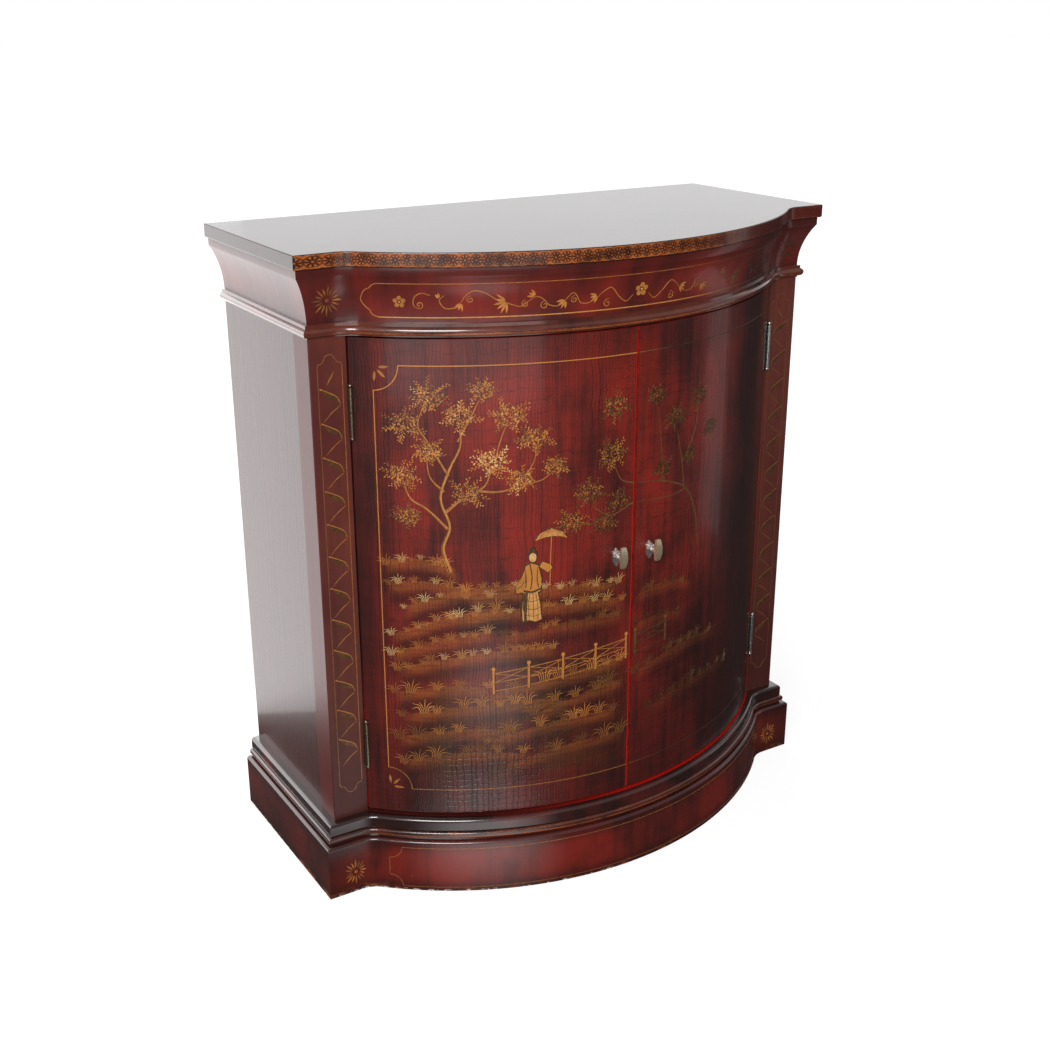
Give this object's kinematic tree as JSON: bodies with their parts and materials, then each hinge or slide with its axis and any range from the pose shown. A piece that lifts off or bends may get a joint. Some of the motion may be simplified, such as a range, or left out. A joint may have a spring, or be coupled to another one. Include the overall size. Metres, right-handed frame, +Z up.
{
  "type": "bow-front hall chest",
  "caption": "Bow-front cabinet with two curved doors between posts, a coved cornice, bead and moulded plinth, one inner shelf, butt hinges and small pulls.",
  "frame": {"origin": "middle of the bounding box in plan, on the floor", "axes": "+Z up, +X to the right seen from the front, -Y towards the front"},
  "size_m": [0.849, 0.4589, 0.9144],
  "materials": {
    "red_lacquer": "aged red-brown lacquer on wood, semi-gloss, with thin painted gold borders",
    "door_lacquer": "aged red lacquer with a fine crackle and painted gold garden scene, semi-gloss",
    "dark_lacquer": "near-black brown lacquer on mouldings, rubbed to copper on the edges",
    "top_lacquer": "dark lacquer, glossy, with a small gold lattice on the front edge",
    "inside_red": "plain red paint, satin",
    "bare_wood": "unfinished softwood and plywood",
    "hinge_nickel": "dull antique nickel",
    "pull_nickel": "worn nickel",
    "pull_brass": "antique brass, rubbed",
    "steel": "zinc plated",
    "catch_brown": "moulded brown plastic"
  },
  "bodies": {
    "case": {"top_board": "top_lacquer", "top_cleats": "bare_wood", "top_screws": "steel", "cornice_front": "red_lacquer", "cornice_left": "red_lacquer", "cornice_right": "red_lacquer", "cornice_back": "bare_wood", "cornice_blocks": "bare_wood", "bead_front": "dark_lacquer", "bead_left": "dark_lacquer", "bead_right": "dark_lacquer", "case_top": "inside_red", "post_left": "red_lacquer", "post_right": "red_lacquer", "side_left": "red_lacquer", "side_right": "red_lacquer", "back_panel": "bare_wood", "back_screws": "steel", "bottom_board": "dark_lacquer", "base_cap_front": "dark_lacquer", "base_cap_left": "dark_lacquer", "base_cap_right": "dark_lacquer", "base_cap_back": "bare_wood", "plinth_front": "red_lacquer", "plinth_left": "red_lacquer", "plinth_right": "red_lacquer", "plinth_back": "bare_wood", "plinth_blocks": "bare_wood", "shelf": "inside_red", "shelf_pins": "steel", "catch_housing": "catch_brown", "catch_magnets": "steel", "catch_screws": "steel", "post_hinge_screws": "steel", "upper_left_post_leaf": "hinge_nickel", "upper_left_pin": "hinge_nickel", "lower_left_post_leaf": "hinge_nickel", "lower_left_pin": "hinge_nickel", "upper_right_post_leaf": "hinge_nickel", "upper_right_pin": "hinge_nickel", "lower_right_post_leaf": "hinge_nickel", "lower_right_pin": "hinge_nickel"},
    "left_door": {"door_left": "door_lacquer", "left_door_screws": "steel", "strike_left": "steel", "upper_left_door_leaf": "hinge_nickel", "lower_left_door_leaf": "hinge_nickel", "pull_left_plate": "pull_nickel", "pull_left_knob": "pull_brass", "pull_left_bolt": "steel"},
    "right_door": {"door_right": "door_lacquer", "right_door_screws": "steel", "strike_right": "steel", "upper_right_door_leaf": "hinge_nickel", "lower_right_door_leaf": "hinge_nickel", "pull_right_plate": "pull_nickel", "pull_right_knob": "pull_brass", "pull_right_bolt": "steel"}
  },
  "joints": [
    {"name": "left_door_hinge", "type": "hinge", "parent": "case", "child": "left_door", "pos_m": [-0.3492, -0.0647, 0.4595], "axis": [0, 0, -1], "range_deg": [0, 115]},
    {"name": "right_door_hinge", "type": "hinge", "parent": "case", "child": "right_door", "pos_m": [0.3492, -0.0647, 0.4595], "axis": [0, 0, 1], "range_deg": [0, 115]}
  ]
}
